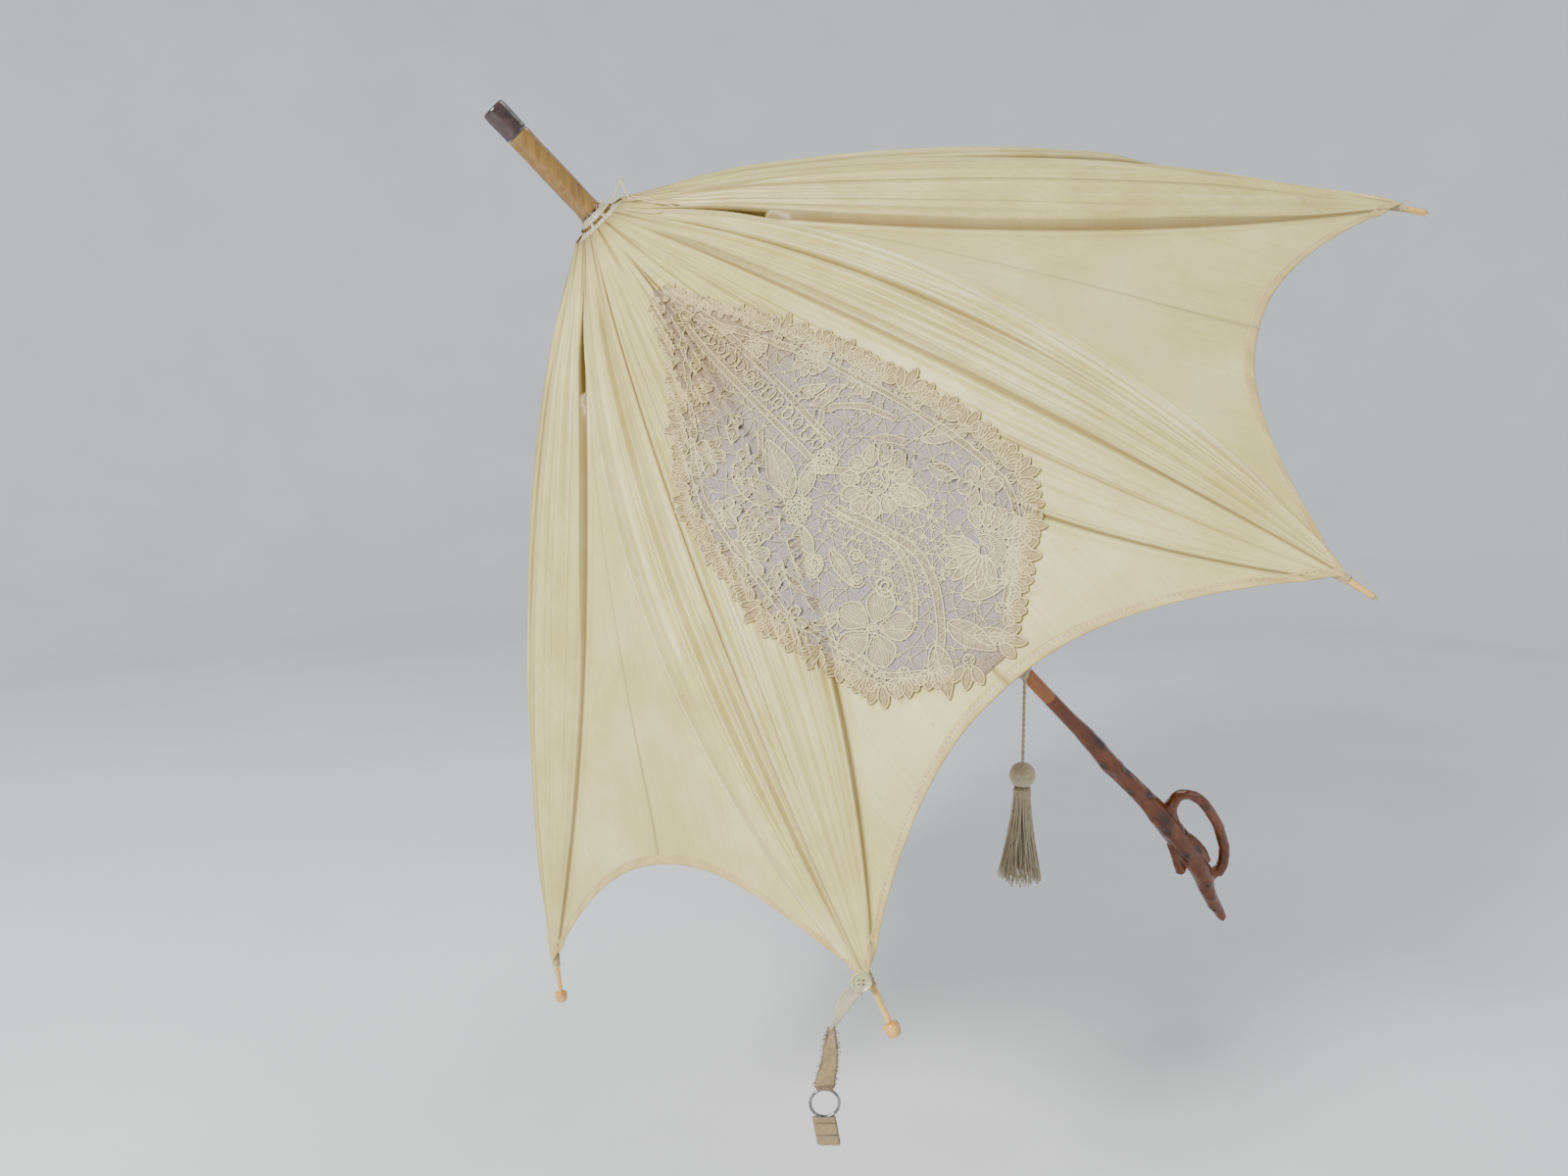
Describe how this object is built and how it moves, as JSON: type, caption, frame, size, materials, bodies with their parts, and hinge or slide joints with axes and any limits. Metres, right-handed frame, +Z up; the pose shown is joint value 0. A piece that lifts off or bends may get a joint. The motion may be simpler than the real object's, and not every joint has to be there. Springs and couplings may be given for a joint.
{
  "type": "lace parasol",
  "caption": "Silk parasol on a natural wood stick with bowed ribs, a scalloped canopy, a drop-shaped lace panel, a tie strap and a tassel.",
  "frame": {"origin": "the point of the stick where a hand holds it, on the stick's axis", "axes": "+Z up in the held attitude; the stick leans in the XZ plane, its crown towards -X and its handle towards +X and down"},
  "size_m": [0.6855, 0.8087, 0.6775],
  "materials": {
    "stick": "satin varnish",
    "ferrule_wood": "glossy varnish",
    "horn": "polished dark horn",
    "handle_wood": "high gloss varnish",
    "collar_metal": "aged",
    "wire": "aged bright steel",
    "stretcher_steel": "dull steel",
    "rib_cane": "smooth cane",
    "knob": "amber coloured bone",
    "silk": "cream silk satin",
    "lace": "ecru tape lace",
    "collar_silk": "gathered silk",
    "button": "pearl cream",
    "band": "ribbed band",
    "ring_metal": "grey wire",
    "tassel_thread": "twisted silk thread"
  },
  "bodies": {
    "stick": {"shaft": "stick", "ferrule": "ferrule_wood", "ferrule_tip": "horn", "crown_collar": "collar_silk", "top_notch": "collar_metal", "notch_wire": "wire", "handle": "handle_wood", "tassel_tie": "tassel_thread"},
    "rib_1": {"rib_1": "rib_cane", "knob_1": "knob"},
    "stretcher_1": {"stretcher_1": "stretcher_steel"},
    "gore_1_left": {"gore_1_left": "silk"},
    "gore_1_right": {"gore_1_right": "silk"},
    "rib_2": {"rib_2": "rib_cane"},
    "stretcher_2": {"stretcher_2": "stretcher_steel"},
    "gore_2_left": {"gore_2_left": "silk"},
    "gore_2_right": {"gore_2_right": "silk"},
    "rib_3": {"rib_3": "rib_cane"},
    "stretcher_3": {"stretcher_3": "stretcher_steel"},
    "gore_3_left": {"gore_3_left": "silk"},
    "gore_3_right": {"gore_3_right": "silk", "lace_panel_left": "lace"},
    "rib_4": {"rib_4": "rib_cane", "knob_4": "knob", "strap_button": "button"},
    "stretcher_4": {"stretcher_4": "stretcher_steel"},
    "gore_4_left": {"gore_4_left": "silk", "lace_panel_right": "lace"},
    "gore_4_right": {"gore_4_right": "silk"},
    "rib_5": {"rib_5": "rib_cane", "knob_5": "knob"},
    "stretcher_5": {"stretcher_5": "stretcher_steel"},
    "gore_5_left": {"gore_5_left": "silk"},
    "gore_5_right": {"gore_5_right": "silk"},
    "rib_6": {"rib_6": "rib_cane", "knob_6": "knob"},
    "stretcher_6": {"stretcher_6": "stretcher_steel"},
    "gore_6_left": {"gore_6_left": "silk"},
    "gore_6_right": {"gore_6_right": "silk"},
    "rib_7": {"rib_7": "rib_cane", "knob_7": "knob"},
    "stretcher_7": {"stretcher_7": "stretcher_steel"},
    "gore_7_left": {"gore_7_left": "silk"},
    "gore_7_right": {"gore_7_right": "silk"},
    "rib_8": {"rib_8": "rib_cane", "knob_8": "knob"},
    "stretcher_8": {"stretcher_8": "stretcher_steel"},
    "gore_8_left": {"gore_8_left": "silk"},
    "gore_8_right": {"gore_8_right": "silk"},
    "runner": {"runner": "collar_metal", "runner_wire": "wire"},
    "top_catch": {"top_catch": "wire"},
    "bottom_catch": {"bottom_catch": "wire"},
    "tie_strap": {"tie_strap": "band"},
    "strap_ring": {"strap_ring": "ring_metal"},
    "strap_tab": {"strap_tab": "band"},
    "tassel": {"tassel_cord": "tassel_thread", "tassel_bead": "tassel_thread", "tassel_skirt": "tassel_thread"}
  },
  "joints": [
    {"name": "rib_1_swing", "type": "hinge", "parent": "stick", "child": "rib_1", "pos_m": [-0.44968, 0, 0.42698], "axis": [0, -1, 0], "range_deg": [-45.5, 23], "deforming": ["top_catch", "bottom_catch"]},
    {"name": "stretcher_1_fold", "type": "hinge", "parent": "rib_1", "child": "stretcher_1", "pos_m": [-0.2396, 0, 0.47726], "axis": [0, -1, 0], "range_deg": [-47, 92]},
    {"name": "gore_1_left_spread", "type": "hinge", "parent": "rib_1", "child": "gore_1_left", "pos_m": [-0.4447, 0.00816, 0.4387], "axis": [0.9388, 0.2019, 0.2791], "range_deg": [-73.77, 37.69], "deforming": ["gore_1_left"]},
    {"name": "gore_1_right_spread", "type": "hinge", "parent": "rib_1", "child": "gore_1_right", "pos_m": [-0.4447, -0.00816, 0.4387], "axis": [-0.9388, 0.2019, -0.2791], "range_deg": [-73.77, 37.69], "deforming": ["gore_1_right"]},
    {"name": "rib_2_swing", "type": "hinge", "parent": "stick", "child": "rib_2", "pos_m": [-0.45186, -0.00778, 0.4246], "axis": [-0.4777, -0.7071, -0.5213], "range_deg": [-46, 23.5]},
    {"name": "stretcher_2_fold", "type": "hinge", "parent": "rib_2", "child": "stretcher_2", "pos_m": [-0.2772, -0.13435, 0.43623], "axis": [-0.4777, -0.7071, -0.5213], "range_deg": [-47, 92]},
    {"name": "gore_2_left_spread", "type": "hinge", "parent": "rib_2", "child": "gore_2_left", "pos_m": [-0.44535, -0.0105, 0.43799], "axis": [0.869, -0.4512, 0.203], "range_deg": [-73.77, 37.69], "deforming": ["gore_2_left"]},
    {"name": "gore_2_right_spread", "type": "hinge", "parent": "rib_2", "child": "gore_2_right", "pos_m": [-0.45315, -0.02204, 0.42948], "axis": [-0.6761, 0.7368, 0.0075], "range_deg": [-73.77, 37.69], "deforming": ["gore_2_right"]},
    {"name": "rib_3_swing", "type": "hinge", "parent": "stick", "child": "rib_3", "pos_m": [-0.45711, -0.011, 0.41887], "axis": [-0.6756, 0, -0.7373], "range_deg": [-46, 23.5]},
    {"name": "stretcher_3_fold", "type": "hinge", "parent": "rib_3", "child": "stretcher_3", "pos_m": [-0.36796, -0.19001, 0.33718], "axis": [-0.6756, 0, -0.7373], "range_deg": [-47, 92]},
    {"name": "gore_3_left_spread", "type": "hinge", "parent": "rib_3", "child": "gore_3_left", "pos_m": [-0.45473, -0.02301, 0.42775], "axis": [0.5076, -0.84, -0.1914], "range_deg": [-73.77, 37.69], "deforming": ["gore_3_left"]},
    {"name": "gore_3_right_spread", "type": "hinge", "parent": "rib_3", "child": "gore_3_right", "pos_m": [-0.46576, -0.02301, 0.41572], "axis": [-0.2349, 0.84, 0.489], "range_deg": [-73.77, 37.69], "deforming": ["gore_3_right", "lace_panel_left"]},
    {"name": "rib_4_swing", "type": "hinge", "parent": "stick", "child": "rib_4", "pos_m": [-0.46237, -0.00778, 0.41313], "axis": [-0.4777, 0.7071, -0.5213], "range_deg": [-46, 23.5]},
    {"name": "stretcher_4_fold", "type": "hinge", "parent": "rib_4", "child": "stretcher_4", "pos_m": [-0.45873, -0.13435, 0.23812], "axis": [-0.4777, 0.7071, -0.5213], "range_deg": [-47, 92]},
    {"name": "gore_4_left_spread", "type": "hinge", "parent": "rib_4", "child": "gore_4_left", "pos_m": [-0.46734, -0.02204, 0.41399], "axis": [0.0664, -0.7368, -0.6729], "range_deg": [-73.77, 37.69], "deforming": ["gore_4_left", "lace_panel_right"]},
    {"name": "gore_4_right_spread", "type": "hinge", "parent": "rib_4", "child": "gore_4_right", "pos_m": [-0.47513, -0.0105, 0.40549], "axis": [0.1265, 0.4512, 0.8834], "range_deg": [-73.77, 37.69], "deforming": ["gore_4_right"]},
    {"name": "rib_5_swing", "type": "hinge", "parent": "stick", "child": "rib_5", "pos_m": [-0.46454, 0, 0.41076], "axis": [0, 1, 0], "range_deg": [-46, 23.5]},
    {"name": "stretcher_5_fold", "type": "hinge", "parent": "rib_5", "child": "stretcher_5", "pos_m": [-0.49633, 0, 0.19709], "axis": [0, 1, 0], "range_deg": [-47, 92]},
    {"name": "gore_5_left_spread", "type": "hinge", "parent": "rib_5", "child": "gore_5_left", "pos_m": [-0.47579, -0.00816, 0.40477], "axis": [-0.1963, -0.2019, -0.9595], "range_deg": [-73.77, 37.69], "deforming": ["gore_5_left"]},
    {"name": "gore_5_right_spread", "type": "hinge", "parent": "rib_5", "child": "gore_5_right", "pos_m": [-0.47579, 0.00816, 0.40477], "axis": [0.1963, -0.2019, 0.9595], "range_deg": [-73.77, 37.69], "deforming": ["gore_5_right"]},
    {"name": "rib_6_swing", "type": "hinge", "parent": "stick", "child": "rib_6", "pos_m": [-0.46237, 0.00778, 0.41313], "axis": [0.4777, 0.7071, 0.5213], "range_deg": [-46, 23.5]},
    {"name": "stretcher_6_fold", "type": "hinge", "parent": "rib_6", "child": "stretcher_6", "pos_m": [-0.45873, 0.13435, 0.23812], "axis": [0.4777, 0.7071, 0.5213], "range_deg": [-47, 92]},
    {"name": "gore_6_left_spread", "type": "hinge", "parent": "rib_6", "child": "gore_6_left", "pos_m": [-0.47513, 0.0105, 0.40549], "axis": [-0.1265, 0.4512, -0.8834], "range_deg": [-73.77, 37.69], "deforming": ["gore_6_left"]},
    {"name": "gore_6_right_spread", "type": "hinge", "parent": "rib_6", "child": "gore_6_right", "pos_m": [-0.46734, 0.02204, 0.41399], "axis": [-0.0664, -0.7368, 0.6729], "range_deg": [-73.77, 37.69], "deforming": ["gore_6_right"]},
    {"name": "rib_7_swing", "type": "hinge", "parent": "stick", "child": "rib_7", "pos_m": [-0.45711, 0.011, 0.41887], "axis": [0.6756, 0, 0.7373], "range_deg": [-46, 23.5]},
    {"name": "stretcher_7_fold", "type": "hinge", "parent": "rib_7", "child": "stretcher_7", "pos_m": [-0.36796, 0.19001, 0.33718], "axis": [0.6756, 0, 0.7373], "range_deg": [-47, 92]},
    {"name": "gore_7_left_spread", "type": "hinge", "parent": "rib_7", "child": "gore_7_left", "pos_m": [-0.46576, 0.02301, 0.41572], "axis": [0.2349, 0.84, -0.489], "range_deg": [-73.77, 37.69], "deforming": ["gore_7_left"]},
    {"name": "gore_7_right_spread", "type": "hinge", "parent": "rib_7", "child": "gore_7_right", "pos_m": [-0.45473, 0.02301, 0.42775], "axis": [-0.5076, -0.84, 0.1914], "range_deg": [-73.77, 37.69], "deforming": ["gore_7_right"]},
    {"name": "rib_8_swing", "type": "hinge", "parent": "stick", "child": "rib_8", "pos_m": [-0.45186, 0.00778, 0.4246], "axis": [0.4777, -0.7071, 0.5213], "range_deg": [-46, 23.5]},
    {"name": "stretcher_8_fold", "type": "hinge", "parent": "rib_8", "child": "stretcher_8", "pos_m": [-0.2772, 0.13435, 0.43623], "axis": [0.4777, -0.7071, 0.5213], "range_deg": [-47, 92]},
    {"name": "gore_8_left_spread", "type": "hinge", "parent": "rib_8", "child": "gore_8_left", "pos_m": [-0.45315, 0.02204, 0.42948], "axis": [0.6761, 0.7368, -0.0075], "range_deg": [-73.77, 37.69], "deforming": ["gore_8_left"]},
    {"name": "gore_8_right_spread", "type": "hinge", "parent": "rib_8", "child": "gore_8_right", "pos_m": [-0.44535, 0.0105, 0.43799], "axis": [-0.869, -0.4512, -0.203], "range_deg": [-73.77, 37.69], "deforming": ["gore_8_right"]},
    {"name": "runner_slide_pivot", "type": "hinge", "parent": "stretcher_1", "child": "runner", "pos_m": [-0.27138, 0, 0.2636], "axis": [0, -1, 0], "range_deg": [-46, 23.5]},
    {"name": "top_catch_press", "type": "hinge", "parent": "stick", "child": "top_catch", "pos_m": [-0.35588, 0.00185, 0.32507], "axis": [0.6242, 0.3827, 0.6812], "range_deg": [0, 6], "stiffness_Nm_per_rad": 0.02},
    {"name": "bottom_catch_press", "type": "hinge", "parent": "stick", "child": "bottom_catch", "pos_m": [-0.14502, 0.00185, 0.13185], "axis": [-0.6242, -0.3827, -0.6812], "range_deg": [0, 6], "stiffness_Nm_per_rad": 0.02},
    {"name": "strap_hang", "type": "hinge", "parent": "rib_4", "child": "tie_strap", "pos_m": [-0.4285, -0.2795, 0.016], "axis": [-0.4777, 0.7071, -0.5213], "range_deg": [-23.5, 46]},
    {"name": "strap_ring_swing", "type": "hinge", "parent": "tie_strap", "child": "strap_ring", "pos_m": [-0.4429, -0.2695, -0.04015], "axis": [0.8862, -0.4633, 0], "range_deg": [-60, 60]},
    {"name": "strap_tab_swing", "type": "hinge", "parent": "strap_ring", "child": "strap_tab", "pos_m": [-0.4429, -0.2695, -0.05625], "axis": [0.8862, -0.4633, 0], "range_deg": [-60, 60]},
    {"name": "tassel_swing", "type": "hinge", "parent": "stick", "child": "tassel", "pos_m": [-0.107, -0.008, 0.09], "axis": [0, 1, 0], "range_deg": [-20, 35]}
  ],
  "couplings": [
    {"joint": "stretcher_1_fold", "follows": "rib_1_swing", "ratio": -2},
    {"joint": "gore_1_left_spread", "follows": "rib_1_swing", "ratio": 1.6037},
    {"joint": "gore_1_right_spread", "follows": "rib_1_swing", "ratio": 1.6037},
    {"joint": "rib_2_swing", "follows": "rib_1_swing", "ratio": 1},
    {"joint": "stretcher_2_fold", "follows": "rib_1_swing", "ratio": -2},
    {"joint": "gore_2_left_spread", "follows": "rib_1_swing", "ratio": 1.6037},
    {"joint": "gore_2_right_spread", "follows": "rib_1_swing", "ratio": 1.6037},
    {"joint": "rib_3_swing", "follows": "rib_1_swing", "ratio": 1},
    {"joint": "stretcher_3_fold", "follows": "rib_1_swing", "ratio": -2},
    {"joint": "gore_3_left_spread", "follows": "rib_1_swing", "ratio": 1.6037},
    {"joint": "gore_3_right_spread", "follows": "rib_1_swing", "ratio": 1.6037},
    {"joint": "rib_4_swing", "follows": "rib_1_swing", "ratio": 1},
    {"joint": "stretcher_4_fold", "follows": "rib_1_swing", "ratio": -2},
    {"joint": "gore_4_left_spread", "follows": "rib_1_swing", "ratio": 1.6037},
    {"joint": "gore_4_right_spread", "follows": "rib_1_swing", "ratio": 1.6037},
    {"joint": "rib_5_swing", "follows": "rib_1_swing", "ratio": 1},
    {"joint": "stretcher_5_fold", "follows": "rib_1_swing", "ratio": -2},
    {"joint": "gore_5_left_spread", "follows": "rib_1_swing", "ratio": 1.6037},
    {"joint": "gore_5_right_spread", "follows": "rib_1_swing", "ratio": 1.6037},
    {"joint": "rib_6_swing", "follows": "rib_1_swing", "ratio": 1},
    {"joint": "stretcher_6_fold", "follows": "rib_1_swing", "ratio": -2},
    {"joint": "gore_6_left_spread", "follows": "rib_1_swing", "ratio": 1.6037},
    {"joint": "gore_6_right_spread", "follows": "rib_1_swing", "ratio": 1.6037},
    {"joint": "rib_7_swing", "follows": "rib_1_swing", "ratio": 1},
    {"joint": "stretcher_7_fold", "follows": "rib_1_swing", "ratio": -2},
    {"joint": "gore_7_left_spread", "follows": "rib_1_swing", "ratio": 1.6037},
    {"joint": "gore_7_right_spread", "follows": "rib_1_swing", "ratio": 1.6037},
    {"joint": "rib_8_swing", "follows": "rib_1_swing", "ratio": 1},
    {"joint": "stretcher_8_fold", "follows": "rib_1_swing", "ratio": -2},
    {"joint": "gore_8_left_spread", "follows": "rib_1_swing", "ratio": 1.6037},
    {"joint": "gore_8_right_spread", "follows": "rib_1_swing", "ratio": 1.6037},
    {"joint": "runner_slide_pivot", "follows": "rib_1_swing", "ratio": 1},
    {"joint": "strap_hang", "follows": "rib_1_swing", "ratio": -1}
  ]
}
